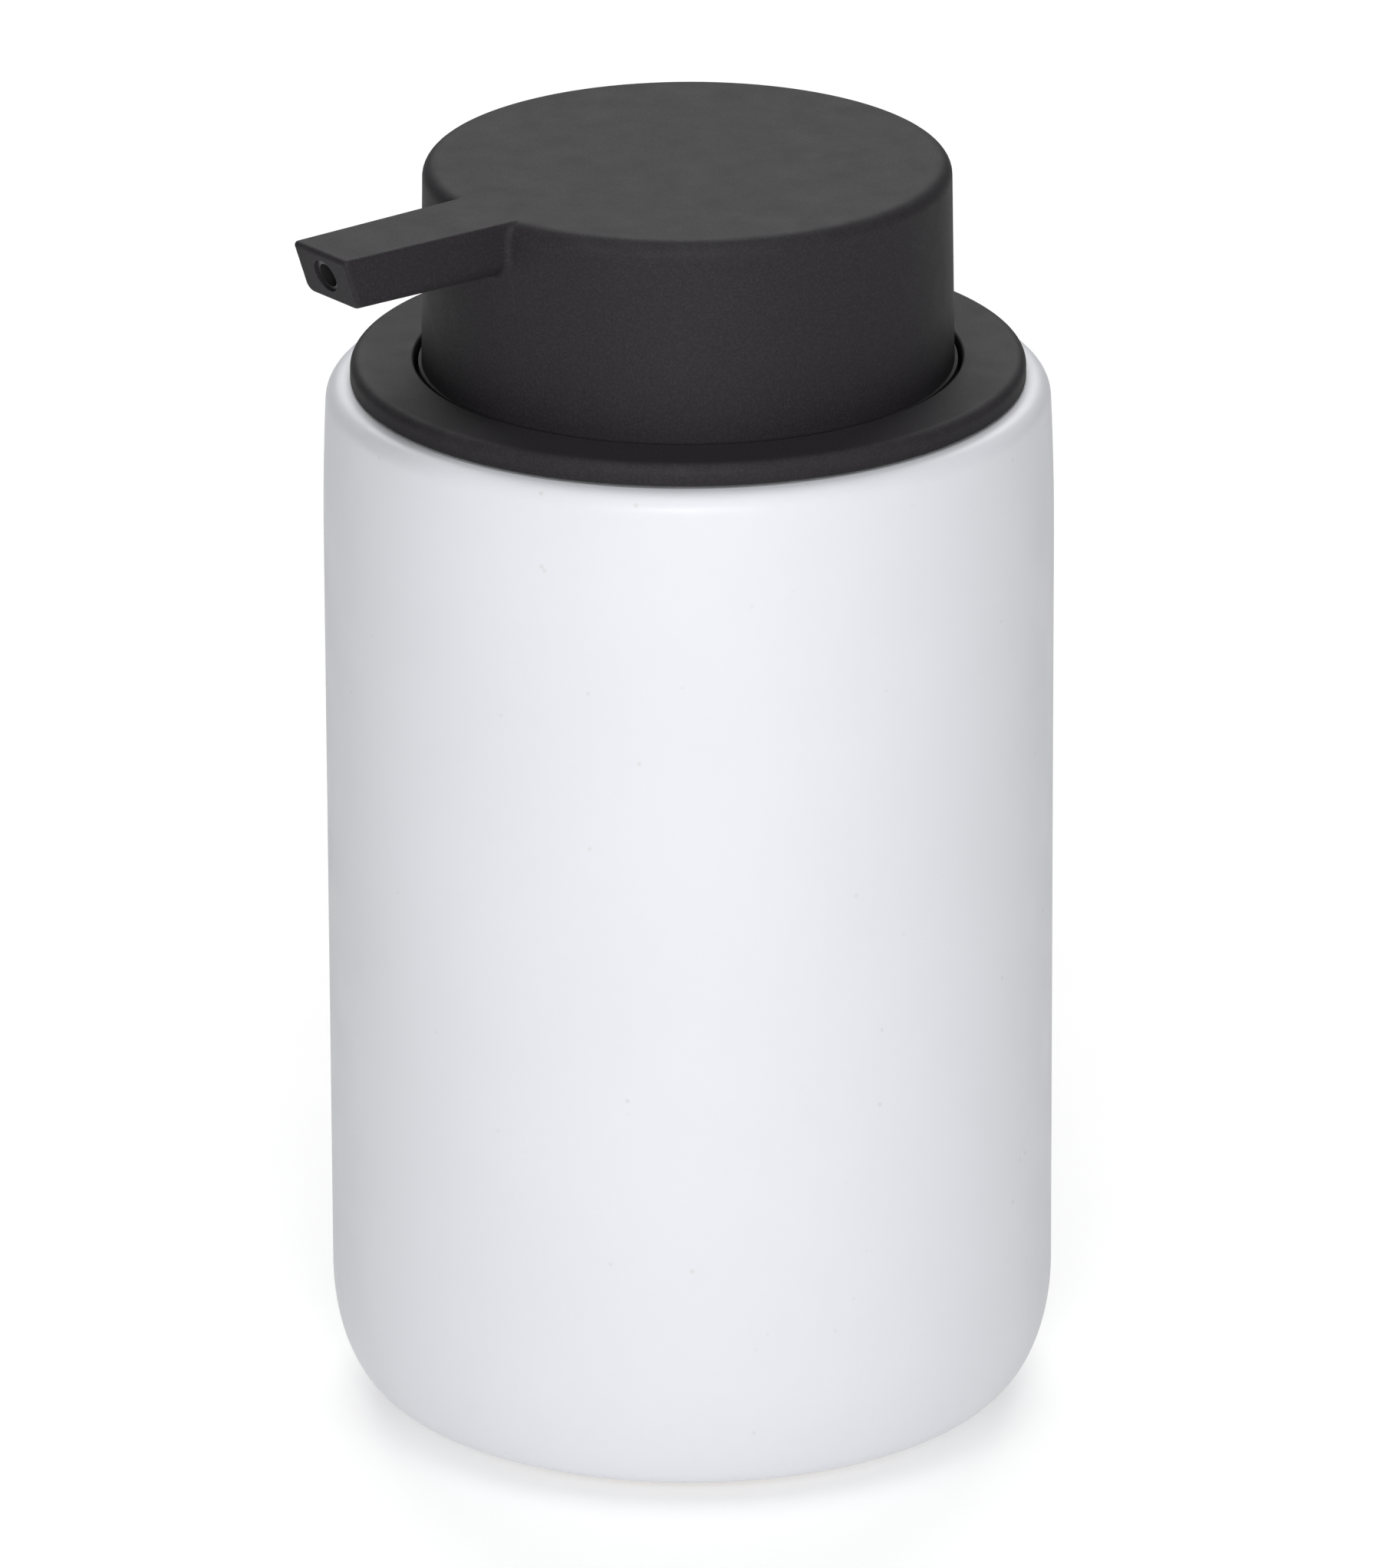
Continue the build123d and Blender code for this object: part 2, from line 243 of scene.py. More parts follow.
glazeSettings = {
    "white": (0.656, 0.664, 0.698),
    "cloud": (0.640, 0.647, 0.679),
    "speck": (0.575, 0.578, 0.585),
    "bareClay": (0.560, 0.520, 0.470),
    "bareHeight": 1.3 * mm,      # the foot's rim is wiped clean of glaze below this
    "satin": (0.40, 0.52),
    "thin": (0.560, 0.545, 0.530),
    "thinEdges": [(31.7, 111.1, 0.9), (28.3, 1.9, 0.8)],  # mouth lip, foot: radius, height, reach in mm
    "thinShare": 0.7,            # how much of the clay shows through there
    "cloudScale": 38, "speckScale": 330, "speckGroups": 210,
    "wavesDeep": 0.02 * mm, "grainDeep": 0.006 * mm,
}


def satinGlaze(settings):
    glaze = Finish("satinGlaze")
    clouds = glaze.fit(glaze.noise(settings["cloudScale"], 4), 0.32, 0.68)
    speck = glaze.fit(glaze.specks(settings["speckScale"]), 0.04, 0.11, 1, 0)
    rare = glaze.fit(glaze.noise(settings["speckGroups"], 1), 0.55, 0.62)
    body = glaze.mix(clouds, settings["white"], settings["cloud"])
    speckled = glaze.mix(glaze.product(speck, rare), body, settings["speck"])
    for radius, height, reach in settings["thinEdges"]:
        edge = glaze.product(glaze.nearRing(radius * mm, height * mm, reach * mm), settings["thinShare"])
        speckled = glaze.mix(edge, speckled, settings["thin"])
    bare = glaze.fit(glaze.height(), settings["bareHeight"] * 0.6, settings["bareHeight"], 1, 0)
    glaze.colour(glaze.mix(bare, speckled, settings["bareClay"]))
    glaze.roughness(glaze.fit(glaze.noise(120), 0.3, 0.7, *settings["satin"]))
    glaze.bump(glaze.noise(240, 2), settings["wavesDeep"], 0.5)
    glaze.bump(glaze.noise(2400), settings["grainDeep"], 0.6)
    return glaze.material


coatSettings = {
    "charcoal": (0.0168, 0.0152, 0.0172),
    "fleck": (0.0262, 0.0238, 0.0262),
    # colour of the painted highlight laid on the rims listed below
    "paintedRimHighlight": (0.034, 0.0325, 0.034),
    "matte": 0.64,
    # head's top edge, collar's outer and inner edge, where the coat is painted lighter as a highlight:
    # radius, height, reach in mm
    "rims": [(26.9, 134.6, 2.2), (34.3, 113.6, 1.6), (28.1, 113.8, 1.0)],
    "rimHighlightShare": 0.35,
    "handled": 0.10,
    "grainScale": 4200, "grainDeep": 0.03 * mm,
}


def softTouchCoat(settings):
    coat = Finish("softTouchCoat", Specular_IOR_Level=0.16)
    grain = coat.fit(coat.noise(settings["grainScale"], 2, 0.6), 0.42, 0.70)
    tone = coat.mix(grain, settings["charcoal"], settings["fleck"])
    handled = coat.fit(coat.noise(65, 4), 0.35, 0.7, 0, settings["handled"])
    tone = coat.mix(handled, tone, settings["fleck"])
    patchy = coat.fit(coat.noise(420, 4, 0.65), 0.40, 0.68, 0.1, 1)
    # painted highlight: the coat is lightened in patches along the head's top edge and the collar's
    # edges
    for radius, height, reach in settings["rims"]:
        rimHighlightMask = coat.product(coat.nearRing(radius * mm, height * mm, reach * mm), patchy)
        tone = coat.mix(coat.product(rimHighlightMask, settings["rimHighlightShare"]), tone, settings["paintedRimHighlight"])
    coat.colour(tone)
    matte = settings["matte"]
    coat.roughness(coat.fit(coat.noise(260, 4), 0.3, 0.7, matte - 0.02, matte + 0.03))
    coat.bump(coat.noise(3600, 3, 0.65), settings["grainDeep"], 0.5)
    return coat.material


mouldedSettings = {
    "charcoal": (0.016, 0.016, 0.0165),
    "sheen": (0.021, 0.021, 0.022),
    "gloss": (0.56, 0.66),
}


def mouldedCharcoal(settings):
    plastic = Finish("mouldedCharcoal", Specular_IOR_Level=0.12)
    flow = plastic.fit(plastic.noise(130, 3, stretch=(1, 1, 0.3)), 0.3, 0.7)
    plastic.colour(plastic.mix(flow, settings["charcoal"], settings["sheen"]))
    plastic.roughness(plastic.fit(plastic.noise(600, 3), 0.3, 0.7, *settings["gloss"]))
    plastic.bump(plastic.noise(1900, 2), 0.012 * mm, 0.5)
    return plastic.material


rubberSettings = {  # colour, bloom on its surface
    "padRubber": ((0.42, 0.42, 0.43), (0.50, 0.50, 0.51)),
    "sealRubber": ((0.075, 0.076, 0.078), (0.12, 0.12, 0.122)),
}


def siliconeRubber(name, colour, bloom):
    rubber = Finish(name, Sheen_Weight=0.2, Sheen_Roughness=0.45)
    dusted = rubber.fit(rubber.noise(800, 4, 0.7), 0.48, 0.74, 0, 0.7)
    rubber.colour(rubber.mix(dusted, colour, bloom))
    rubber.roughness(rubber.fit(rubber.noise(220), 0.3, 0.7, 0.46, 0.64))
    rubber.bump(rubber.noise(1700, 2), 0.012 * mm, 0.5)
    return rubber.material


polymerSettings = {  # colour, flow marks, share of light that passes into it
    "naturalPolymer": ((0.78, 0.78, 0.76), (0.72, 0.72, 0.69), 0.35),
    "tubePolymer": ((0.80, 0.81, 0.80), (0.73, 0.74, 0.72), 0.55),
    "nozzlePolymer": ((0.014, 0.014, 0.0145), (0.019, 0.019, 0.019), 0.0),
}


def mouldedPolymer(name, colour, flow, milk):
    polymer = Finish(name, Subsurface_Weight=milk, Subsurface_Scale=1.5 * mm)
    marks = polymer.fit(polymer.noise(150, 3, stretch=(1, 1, 0.2)), 0.3, 0.7)
    polymer.colour(polymer.mix(marks, colour, flow))
    polymer.roughness(polymer.fit(polymer.noise(480), 0.3, 0.7, 0.30, 0.44))
    polymer.bump(polymer.noise(1100, 2), 0.01 * mm, 0.5)
    return polymer.material


steelSettings = {"bright": (0.62, 0.61, 0.59), "drawn": (0.40, 0.40, 0.40), "gloss": (0.20, 0.36)}


def drawnSteel(settings):
    steel = Finish("drawnSteel", Metallic=1.0)
    streaks = steel.noise(1300, 3, stretch=(1, 1, 5))
    steel.colour(steel.mix(steel.fit(streaks, 0.35, 0.7), settings["bright"], settings["drawn"]))
    steel.roughness(steel.fit(streaks, 0.3, 0.7, *settings["gloss"]))
    steel.bump(streaks, 0.008 * mm, 0.6)
    return steel.material


paperSettings = {"pale": (0.615, 0.615, 0.614), "paler": (0.625, 0.625, 0.625)}


def palePaper(settings, glow):
    paper = Finish("palePaper", Specular_IOR_Level=0.2,
                   Emission_Color=(1, 1, 1, 1), Emission_Strength=glow)
    paper.colour(paper.mix(paper.noise(5, 2), settings["pale"], settings["paler"]))
    paper.roughness(paper.fit(paper.noise(60), 0.3, 0.7, 0.7, 0.85))
    return paper.material


glaze = satinGlaze(glazeSettings)
coat = softTouchCoat(coatSettings)
charcoal = mouldedCharcoal(mouldedSettings)
padRubber = siliconeRubber("padRubber", *rubberSettings["padRubber"])
sealRubber = siliconeRubber("sealRubber", *rubberSettings["sealRubber"])
naturalPolymer = mouldedPolymer("naturalPolymer", *polymerSettings["naturalPolymer"])
tubePolymer = mouldedPolymer("tubePolymer", *polymerSettings["tubePolymer"])
nozzlePolymer = mouldedPolymer("nozzlePolymer", *polymerSettings["nozzlePolymer"])
steel = drawnSteel(steelSettings)
print("finishes mixed")


class Tree:
    def __init__(self, name, sizes):
        self.group = bpy.data.node_groups.new(name, "GeometryNodeTree")
        newSocket = self.group.interface.new_socket
        for label, kind in {"Geometry": "Geometry", **sizes, "Finish": "Material"}.items():
            newSocket(label, in_out="INPUT", socket_type="NodeSocket" + kind)
        newSocket("Geometry", in_out="OUTPUT", socket_type="NodeSocketGeometry")
        self.inputs = self.group.nodes.new("NodeGroupInput").outputs

    def add(self, kind, result, /, wired=None, **choices):
        # choices are the node's own properties, wired fills its sockets
        node = self.group.nodes.new(kind)
        for key, value in choices.items():
            setattr(node, key, value)
        for key, value in (wired or {}).items():
            if isinstance(value, bpy.types.NodeSocket):
                self.group.links.new(value, node.inputs[key])
            else:
                node.inputs[key].default_value = value
        return node.outputs[result]

    def sum(self, operation, first, second):
        return self.add("ShaderNodeMath", "Value", {0: first, 1: second}, operation=operation)

    def finish(self, geometry):
        whole = self.add("GeometryNodeRealizeInstances", "Geometry", {"Geometry": geometry})
        coated = self.add("GeometryNodeSetMaterial", "Geometry",
                          {"Geometry": whole, "Material": self.inputs["Finish"]})
        output = self.group.nodes.new("NodeGroupOutput")
        self.group.links.new(coated, output.inputs["Geometry"])
        return self.group


def newObject(name, verts, edges):
    mesh = bpy.data.meshes.new(name)
    mesh.from_pydata(verts, edges, [])
    piece = bpy.data.objects.new(name, mesh)
    scene.collection.objects.link(piece)
    return piece


def growPiece(piece, tree, sizes, material):
    # runs the tree with these sizes, and leaves the result as a plain mesh
    modifier = piece.modifiers.new("grow", "NODES")
    modifier.node_group = tree
    values = {**sizes, "Finish": material}
    for item in tree.interface.items_tree:
        if item.in_out == "INPUT" and item.name in values:
            modifier[item.identifier] = values[item.name]
    evaluated = piece.evaluated_get(bpy.context.evaluated_depsgraph_get())
    grown = bpy.data.meshes.new_from_object(evaluated)
    piece.modifiers.remove(modifier)
    piece.data = grown
    return piece


def smoothPiece(piece, sharpAngle=32, weld=0.002 * mm):
    shell = bmesh.new()
    shell.from_mesh(piece.data)
    bmesh.ops.remove_doubles(shell, verts=shell.verts, dist=weld)
    bmesh.ops.recalc_face_normals(shell, faces=shell.faces)
    shell.to_mesh(piece.data)
    shell.free()
    piece.data.shade_smooth()
    piece.data.set_sharp_from_angle(angle=math.radians(sharpAngle))
    return piece


def settle(piece, body, slot, *replaced):
    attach(piece, body)
    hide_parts(*replaced)


# an outline in radius and height, swept round the bottle's axis
def sweepTree():
    tree = Tree("turnedPiece", {"Turns": "Int", "Points": "Int"})
    rows = tree.inputs["Points"]
    columns = tree.sum("ADD", tree.inputs["Turns"], 1.0)
    grid = tree.add("GeometryNodeMeshGrid", "Mesh",
                    {"Vertices X": columns, "Vertices Y": rows})
    index = tree.add("GeometryNodeInputIndex", "Index")
    row = tree.sum("MODULO", index, rows)
    # the small lift keeps an exact division from rounding down
    column = tree.sum("FLOOR", tree.sum("DIVIDE", tree.sum("ADD", index, 0.01), rows), 0.0)
    angle = tree.sum("MULTIPLY", tree.sum("DIVIDE", column, tree.inputs["Turns"]), math.tau)
    place = tree.add("GeometryNodeInputPosition", "Position")
    point = tree.add("GeometryNodeSampleIndex", "Value",
                     {"Geometry": tree.inputs["Geometry"], "Value": place, "Index": row},
                     data_type="FLOAT_VECTOR", domain="POINT")
    swung = tree.add("ShaderNodeVectorRotate", "Vector",
                     {"Vector": point, "Axis": (0, 0, 1), "Angle": angle},
                     rotation_type="AXIS_ANGLE")
    return tree.finish(tree.add("GeometryNodeSetPosition", "Geometry",
                                {"Geometry": grid, "Position": swung}))


turnedPiece = sweepTree()


arcSettings = {"stepDegrees": 9, "fewestSteps": 3, "hold": 0.25, "holdShare": 0.35}


def cornerArc(before, corner, after, radius):
    # round a corner, with a point just outside each end so that flats stay flat in the shading
    first, last = (before - corner).normalized(), (after - corner).normalized()
    half = first.angle(last) / 2
    centre = corner + (first + last).normalized() * radius / math.sin(half)
    reach = radius / math.tan(half)
    start, end = corner + first * reach - centre, corner + last * reach - centre
    sweep = start.angle(end)
    steps = max(arcSettings["fewestSteps"],
                math.ceil(math.degrees(sweep) / arcSettings["stepDegrees"]))
    hold = min(arcSettings["hold"], arcSettings["holdShare"] * radius)
    arc = [corner + first * (reach + hold)]
    for step in range(steps + 1):
        share = step / steps
        blend = start * math.sin((1 - share) * sweep) + end * math.sin(share * sweep)
        arc.append(centre + blend / math.sin(sweep))
    arc.append(corner + last * (reach + hold))
    return arc


def roundedOutline(corners, closed):
    # corners are (radius, height) or (radius, height, rounding), in millimetres
    outline = []
    count = len(corners)
    for index, corner in enumerate(corners):
        here = Vector(corner[:2])
        if len(corner) == 2 or (not closed and index in (0, count - 1)):
            outline.append(here)
        else:
            before = Vector(corners[index - 1][:2])
            after = Vector(corners[(index + 1) % count][:2])
            outline += cornerArc(before, here, after, corner[2])
    if closed:
        outline.append(outline[0])
    return outline


def turn(name, corners, material, closed=True, segments=224):
    outline = roundedOutline(corners, closed)
    verts = [(point.x * mm, 0, point.y * mm) for point in outline]
    piece = newObject(name, verts, [(n, n + 1) for n in range(len(verts) - 1)])
    growPiece(piece, turnedPiece, {"Turns": segments, "Points": len(verts)}, material)
    return smoothPiece(piece)


bottleSettings = {
    "wallRadius": 37.5, "wall": 4.2, "mouthRadius": 31.4,
    "insideFloor": 6.3, "floorRound": 9.0, "underside": 2.0,
    "cornerRun": 6.2, "cornerRise": 12.4, "cornerSteps": 16,   # the bottom edge is a quarter ellipse
    "shoulder": 94.6, "shoulderLean": 0.46, "shoulderSteps": 8, "shoulderShare": 0.85,
    "rimRound": 2.0, "lipRound": 0.6, "recess": 1.8,
    "footInside": 25.0, "footOutside": 28.3, "footBottom": 0.4, "footRound": 0.35, "footRoot": 0.4,
    "neckLow": 92.0, "neckHigh": 97.0, "neckRound": 3.0,       # where the wall thickens to the mouth
    "turns": 288,
}


def stonewareBottle(settings):
    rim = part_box("ceramic_bottle")[1][2] / mm
    radius, run, rise = settings["wallRadius"], settings["cornerRun"], settings["cornerRise"]
    foot, underside = settings["footBottom"], settings["underside"]
    corners = [(0, settings["recess"]), (settings["footInside"], settings["recess"]),
               (settings["footInside"], foot, settings["footRound"]),
               (settings["footOutside"], foot, settings["footRound"]),
               (settings["footOutside"], underside, settings["footRoot"]),
               (radius - run, underside)]
    for step in range(1, settings["cornerSteps"] + 1):
        angle = math.pi / 2 * step / settings["cornerSteps"]
        corners.append((radius - run + run * math.sin(angle),
                        underside + rise - rise * math.cos(angle)))
    corners.append((radius, settings["shoulder"]))
    for step in range(1, settings["shoulderSteps"] + 1):
        share = settings["shoulderShare"] * step / settings["shoulderSteps"]
        corners.append((radius - settings["shoulderLean"] * share ** 2,
                        settings["shoulder"] + (rim - settings["shoulder"]) * share))
    inside = radius - settings["wall"]
    mouth = settings["mouthRadius"]
    corners += [(radius - settings["shoulderLean"], rim, settings["rimRound"]),
                (mouth, rim, settings["lipRound"]),
                (mouth, settings["neckHigh"], settings["neckRound"]),
                (inside, settings["neckLow"], settings["neckRound"]),
                (inside, settings["insideFloor"], settings["floorRound"]),
                (0, settings["insideFloor"])]
    return turn("stonewareBottle", corners, glaze, closed=False, segments=settings["turns"])


padSettings = {
    "radius": 24.8, "thickness": 1.8, "edgeRound": 0.5,
    "grooves": [20.5, 13.0], "grooveWidth": 1.3, "grooveDepth": 0.4, "grooveRound": 0.15,
}


def footPad(settings):
    corners = [(0, settings["thickness"]), (settings["radius"], settings["thickness"]),
               (settings["radius"], 0, settings["edgeRound"])]
    depth = settings["grooveDepth"]
    for middle in settings["grooves"]:
        for side, height in ((1, 0), (1, depth), (-1, depth), (-1, 0)):
            corners.append((middle + side * settings["grooveWidth"] / 2, height,
                            settings["grooveRound"]))
    return turn("footPad", corners + [(0, 0)], padRubber, closed=False)


settle(stonewareBottle(bottleSettings), "bottle", "stoneware", "ceramic_bottle")
settle(footPad(padSettings), "bottle", "pad_silicone", "foot_pad")
print("bottle turned")


lidSettings = {
    "collarInside": 28.1, "collarOutside": 34.6, "collarLow": 111.6, "collarTop": 113.8,
    "collarRound": 1.1, "holeRound": 0.3, "underRound": 0.15, "collarTurns": 288,
    "flangeRadius": 33.4, "flangeTop": 112.7, "flangeGap": 0.05,
    "wellInside": 28.2, "wellWall": 1.4, "wellFloor": 91.0, "wellFloorThick": 2.2,
    "wellBottomRound": 2.0, "wellFloorRound": 1.0, "wellRimRound": 0.2,
    "neckInside": 9.4, "neckOutside": 12.0, "neckTop": 98.0, "neckRootRound": 0.4, "neckTopRound": 0.2,
    "sealLow": 98.0, "sealWall": 0.9, "sealFlange": 34.0, "sealFlangeThick": 0.3, "sealReach": 31.32,
    "lips": [99.0, 102.6, 106.2],                              # where each lip leaves the seal's wall
    "lipRise": 1.1, "lipTip": 1.5, "lipTop": 1.75, "lipRound": 0.1,
}


def collarRing(settings):
    inside, outside = settings["collarInside"], settings["collarOutside"]
    low, top, ledge = settings["collarLow"], settings["collarTop"], settings["flangeTop"]
    corners = [(inside, ledge), (settings["flangeRadius"], ledge), (settings["flangeRadius"], low),
               (outside, low, settings["underRound"]), (outside, top, settings["collarRound"]),
               (inside, top, settings["holeRound"])]
    return turn("collarRing", corners, coat, segments=settings["collarTurns"])


def lidWell(settings):
    inside, outside = settings["wellInside"], settings["wellInside"] + settings["wellWall"]
    edge = settings["flangeRadius"] - settings["flangeGap"]
    low = settings["wellFloor"] - settings["wellFloorThick"]
    corners = [(settings["neckInside"], low), (outside, low, settings["wellBottomRound"]),
               (outside, settings["collarLow"]), (edge, settings["collarLow"]),
               (edge, settings["flangeTop"]),
               (inside, settings["flangeTop"], settings["wellRimRound"]),
               (inside, settings["wellFloor"], settings["wellFloorRound"]),
               (settings["neckOutside"], settings["wellFloor"], settings["neckRootRound"]),
               (settings["neckOutside"], settings["neckTop"], settings["neckTopRound"]),
               (settings["neckInside"], settings["neckTop"])]
    return turn("lidWell", corners, charcoal)


def mouthGasket(settings):
    inside = settings["wellInside"] + settings["wellWall"]
    outside, reach = inside + settings["sealWall"], settings["sealReach"]
    flange, top = settings["sealFlange"], settings["collarLow"]
    rim = top - settings["sealFlangeThick"]
    corners = [(inside, settings["sealLow"]), (outside, settings["sealLow"])]
    for lip in settings["lips"]:
        corners += [(outside, lip), (reach, lip + settings["lipRise"]),
                    (reach, lip + settings["lipTip"], settings["lipRound"]),
                    (outside, lip + settings["lipTop"])]
    corners += [(outside, rim), (flange, rim), (flange, top), (inside, top)]
    return turn("mouthGasket", corners, sealRubber)


closureSettings = {
    "inside": 12.2, "outside": 14.6, "low": 92.0, "top": 103.2, "shelf": 101.6, "hole": 6.7,
    "edgeRound": 0.8, "insideRound": 0.2, "lowRound": 0.3, "holeRound": 0.3,
    "gripRibs": 36, "ribWidth": 0.9, "ribProud": 0.4, "ribMargin": 1.2,
}


def ribTree(name, roundSection):
    # upright ribs in a ring, joined to the piece that they stand on
    lengths = ("Radius", "Rib Width", "Rib Proud", "Low", "High", "First Angle")
    tree = Tree(name, {"Ribs": "Int", **dict.fromkeys(lengths, "Float")})
    get = tree.inputs
    ring = tree.add("GeometryNodeMeshCircle", "Mesh",
                    {"Vertices": get["Ribs"], "Radius": get["Radius"]})
    middle = tree.sum("MULTIPLY", tree.sum("ADD", get["Low"], get["High"]), 0.5)
    lift = tree.add("ShaderNodeCombineXYZ", "Vector", {"Z": middle})
    turnBy = tree.add("ShaderNodeCombineXYZ", "Vector", {"Z": get["First Angle"]})
    ring = tree.add("GeometryNodeTransform", "Geometry",
                    {"Geometry": ring, "Translation": lift, "Rotation": turnBy})
    place = tree.add("GeometryNodeInputPosition", "Position")
    outward = tree.add("ShaderNodeVectorMath", "Vector", {0: place, 1: (1, 1, 0)},
                       operation="MULTIPLY")
    facing = tree.add("FunctionNodeAlignRotationToVector", "Rotation", {"Vector": outward},
                      axis="X")
    if roundSection:
        rib = tree.add("GeometryNodeMeshCylinder", "Mesh",
                       {"Vertices": 12, "Side Segments": 1, "Fill Segments": 1,
                        "Radius": 0.5, "Depth": 1.0})
    else:
        rib = tree.add("GeometryNodeMeshCube", "Mesh", {"Size": (1, 1, 1)})
    size = tree.add("ShaderNodeCombineXYZ", "Vector", {
        "X": tree.sum("MULTIPLY", get["Rib Proud"], 2.0), "Y": get["Rib Width"],
        "Z": tree.sum("SUBTRACT", get["High"], get["Low"])})
    rib = tree.add("GeometryNodeTransform", "Geometry", {"Geometry": rib, "Scale": size})
    ribs = tree.add("GeometryNodeInstanceOnPoints", "Instances",
                    {"Points": ring, "Instance": rib, "Rotation": facing})
    both = tree.group.nodes.new("GeometryNodeJoinGeometry")
    tree.group.links.new(get["Geometry"], both.inputs["Geometry"])
    tree.group.links.new(ribs, both.inputs["Geometry"])
    return tree.finish(both.outputs["Geometry"])


def addRibs(piece, tree, material, ribs, middle, width, proud, low, high, firstAngle=0):
    growPiece(piece, tree, {
        "Ribs": ribs, "Radius": middle * mm, "Rib Width": width * mm, "Rib Proud": proud * mm,
        "Low": low * mm, "High": high * mm, "First Angle": math.radians(firstAngle),
    }, material)
    return smoothPiece(piece)


gripRibs = ribTree("gripRibs", True)
webRibs = ribTree("webRibs", False)


def pumpClosure(settings):
    inside, outside, low, top = (settings[side] for side in ("inside", "outside", "low", "top"))
    corners = [(inside, low, settings["insideRound"]), (outside, low, settings["lowRound"]),
               (outside, top, settings["edgeRound"]), (settings["hole"], top, settings["holeRound"]),
               (settings["hole"], settings["shelf"]), (inside, settings["shelf"])]
    cap = turn("pumpClosure", corners, naturalPolymer)
    return addRibs(cap, gripRibs, naturalPolymer, settings["gripRibs"], outside,
                   settings["ribWidth"], settings["ribProud"],
                   low + settings["ribMargin"], top - settings["ribMargin"])


settle(collarRing(lidSettings), "lid", "soft_touch_charcoal", "collar_ring")
settle(lidWell(lidSettings), "lid", "charcoal_plastic", "lid_well")
settle(mouthGasket(lidSettings), "lid", "seal_silicone", "mouth_gasket")
settle(pumpClosure(closureSettings), "lid", "natural_plastic", "pump_closure")
print("lid made, with", closureSettings["gripRibs"], "grip ribs")


springSettings = {
    "radius": 4.2, "wire": 0.8, "low": 67.2, "high": 86.0,
    "turns": 8.5, "closedTurns": 1.0, "pointsPerTurn": 40, "wireSides": 16,
    "pressedTo": 7.8,      # length when the head is right down
}


def springTree(settings):
    # a coil that climbs one wire's thickness in each closed turn, and evenly between them
    sizes = ("Turns", "Closed Turns", "Coil Radius", "Wire Radius", "Low", "High")
    tree = Tree("closedEndSpring", dict.fromkeys(sizes, "Float"))
    get = tree.inputs
    coil = tree.add("GeometryNodeCurveSpiral", "Curve", {
        "Resolution": settings["pointsPerTurn"], "Rotations": get["Turns"],
        "Start Radius": get["Coil Radius"], "End Radius": get["Coil Radius"], "Height": 0.01})
    along = tree.add("GeometryNodeSplineParameter", "Factor")
    closed = tree.sum("DIVIDE", get["Closed Turns"], get["Turns"])
    opened = tree.sum("SUBTRACT", 1.0, closed)
    wire = tree.sum("MULTIPLY", get["Wire Radius"], 2.0)
    bottom = tree.sum("ADD", get["Low"], get["Wire Radius"])
    top = tree.sum("SUBTRACT", get["High"], get["Wire Radius"])
    rise = tree.sum("SUBTRACT", tree.sum("SUBTRACT", top, bottom),
                    tree.sum("MULTIPLY", wire, 2.0))

    def climb(start, end, amount):
        return tree.add("ShaderNodeMapRange", "Result", {
            "Value": along, "From Min": start, "From Max": end, "To Min": 0.0, "To Max": amount})

    lowerPart = tree.sum("ADD", climb(0.0, closed, wire), climb(closed, opened, rise))
    height = tree.sum("ADD", lowerPart, tree.sum("ADD", climb(opened, 1.0, wire), bottom))
    place = tree.add("GeometryNodeInputPosition", "Position")
    split = tree.group.nodes.new("ShaderNodeSeparateXYZ")
    tree.group.links.new(place, split.inputs["Vector"])
    raised = tree.add("ShaderNodeCombineXYZ", "Vector",
                      {"X": split.outputs["X"], "Y": split.outputs["Y"], "Z": height})
    coil = tree.add("GeometryNodeSetPosition", "Geometry", {"Geometry": coil, "Position": raised})
    section = tree.add("GeometryNodeCurvePrimitiveCircle", "Curve",
                       {"Resolution": settings["wireSides"], "Radius": get["Wire Radius"]})
    return tree.finish(tree.add("GeometryNodeCurveToMesh", "Mesh",
                                {"Curve": coil, "Profile Curve": section, "Fill Caps": True}))


def returnSpring(settings):
    spring = newObject("returnSpring", [(0, 0, 0)], [])
    growPiece(spring, springTree(settings), {
        "Turns": settings["turns"], "Closed Turns": settings["closedTurns"],
        "Coil Radius": settings["radius"] * mm, "Wire Radius": settings["wire"] / 2 * mm,
        "Low": settings["low"] * mm, "High": settings["high"] * mm}, steel)
    smoothPiece(spring)
    settle(spring, "plunger", "spring_steel", "return_spring")
    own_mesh(spring)


returnSpring(springSettings)
print("spring wound")


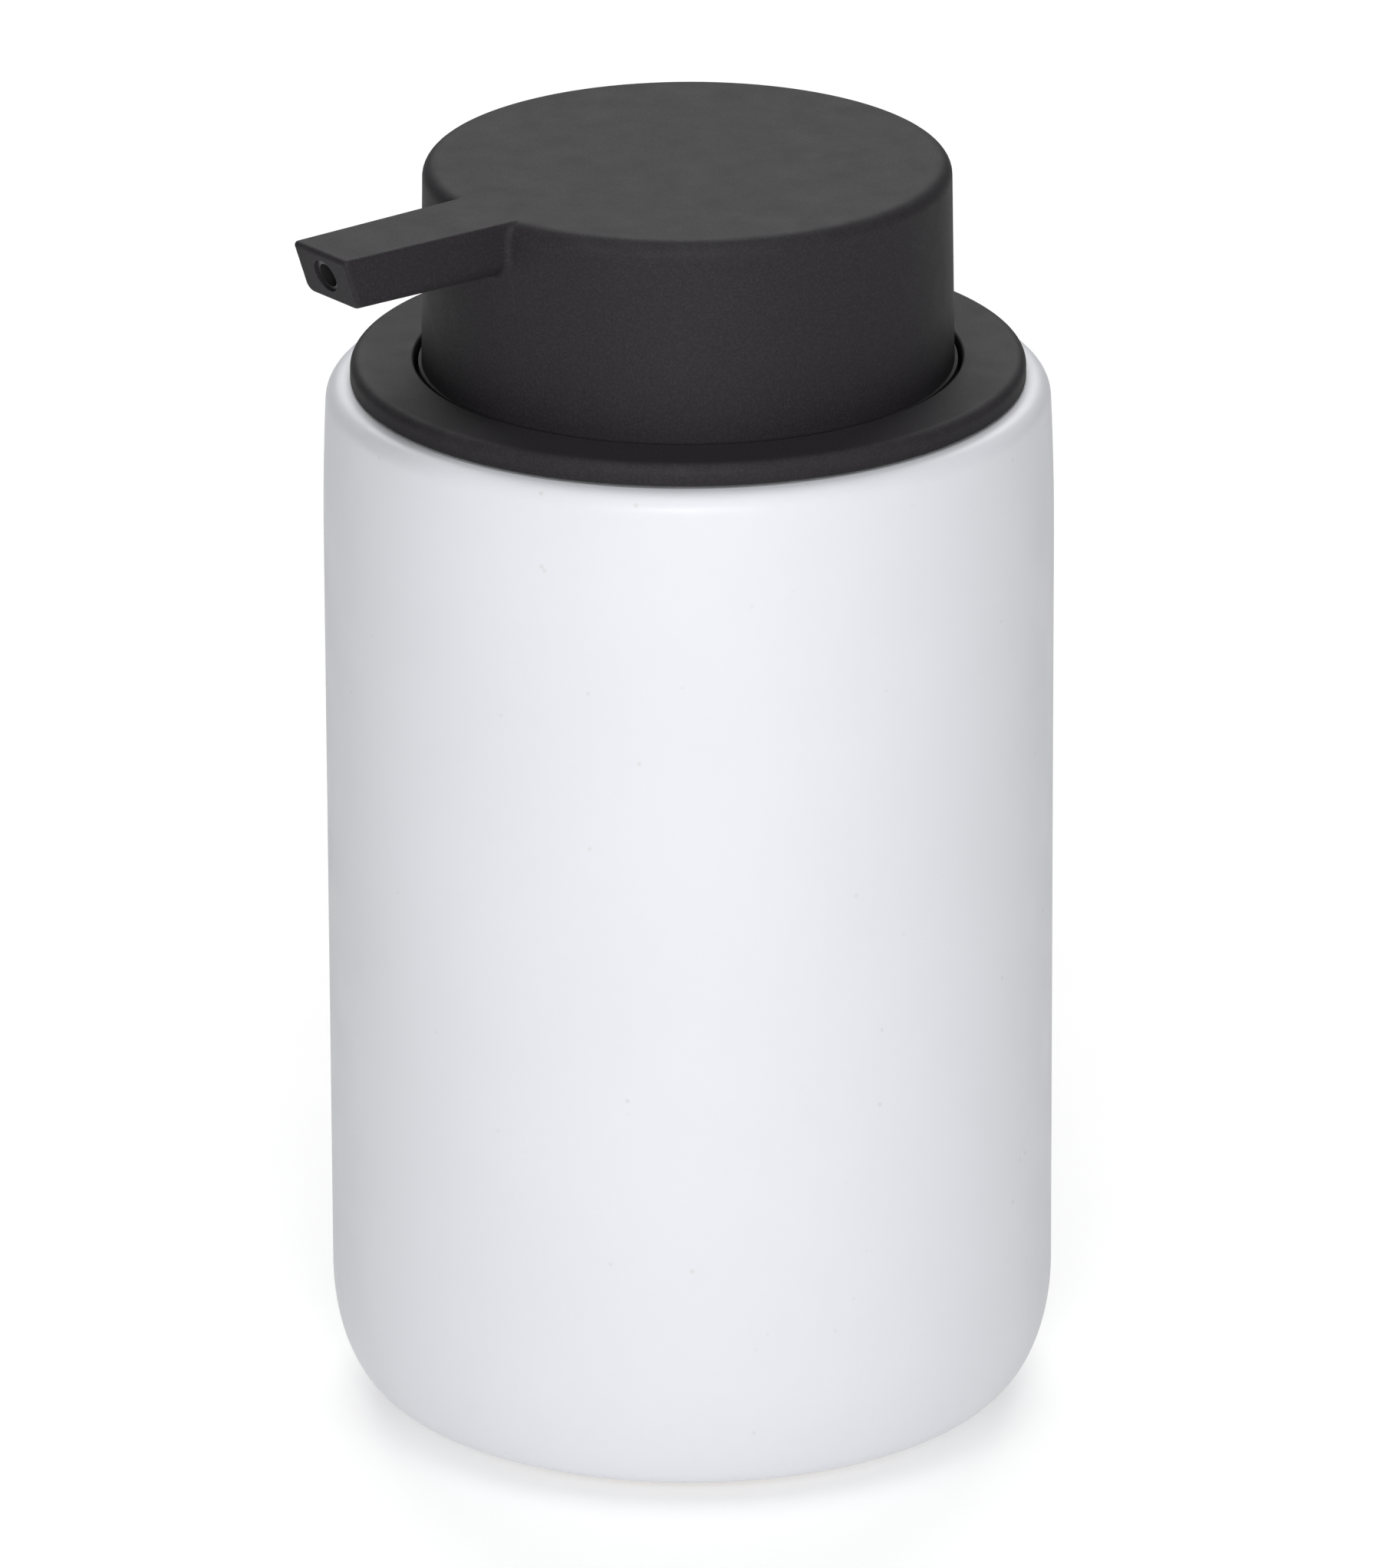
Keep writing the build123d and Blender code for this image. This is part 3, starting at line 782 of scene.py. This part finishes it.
headBaseSettings = {
    "sleeveRadius": 27.6, "sleeveLow": 104.0, "sleeveTop": 113.4, "wall": 1.4,
    "spigotRadius": 25.1, "spigotWall": 1.2, "webLow": 118.6, "webTop": 120.2,
    "socketRadius": 5.6, "socketTop": 125.0, "stemRadius": 3.62,
    "shelf": 1.2, "sharpRound": 0.2, "round": 0.3, "lowRound": 0.4, "rootRound": 0.5,
    "webRibs": 6, "ribWidth": 1.2, "ribTop": 122.7, "firstRib": 30,
    "ribSink": 0.2, "ribInset": 0.3,       # into the web, and back from the spigot's outer face
}


def headBase(settings):
    sleeve, spigot = settings["sleeveRadius"], settings["spigotRadius"]
    bore, inside = sleeve - settings["wall"], spigot - settings["spigotWall"]
    socket, stem, ease = settings["socketRadius"], settings["stemRadius"], settings["round"]
    low, top, web = settings["sleeveLow"], settings["sleeveTop"], settings["webTop"]
    shelf = top - settings["shelf"]
    corners = [(bore, low, settings["sharpRound"]), (sleeve, low, settings["lowRound"]),
               (sleeve, top), (spigot, top), (spigot, web, ease), (socket, web, ease),
               (socket, settings["socketTop"], ease), (stem, settings["socketTop"]),
               (stem, settings["webLow"]), (inside, settings["webLow"], settings["rootRound"]),
               (inside, shelf, settings["rootRound"]), (bore, shelf, ease)]
    base = turn("headBase", corners, charcoal)
    halfLength = (spigot - socket) / 2
    return addRibs(base, webRibs, charcoal, settings["webRibs"],
                   spigot - halfLength - settings["ribInset"], settings["ribWidth"], halfLength,
                   web - settings["ribSink"], settings["ribTop"], settings["firstRib"])


settle(headBase(headBaseSettings), "head", "charcoal_plastic", "head_base")
print("head base made")


# CAD pieces whose shape is right keep it, and get their finish
def coatNodes(finishes):
    for name, material in finishes.items():
        mesh = nodes[name].data
        mesh.materials.clear()
        mesh.materials.append(material)


coatNodes({
    "head_cap": coat,
    "nozzle_tube": nozzlePolymer,
    "neck_gasket": sealRubber,
    "piston_seal": sealRubber,
    "stem_guide": naturalPolymer,
    "pump_housing": naturalPolymer,
    "ball_retainer": naturalPolymer,
    "pump_stem": naturalPolymer,
    "piston_rod": naturalPolymer,
    "outlet_elbow": naturalPolymer,
    "dip_tube": tubePolymer,
    "check_ball": steel,
})
print("CAD pieces coated")


setUpRoom(roomSettings, palePaper(paperSettings, roomSettings["floorGlow"]))
setUpLights(lightSettings)
setUpCamera(cameraSettings)
print("studio set up")
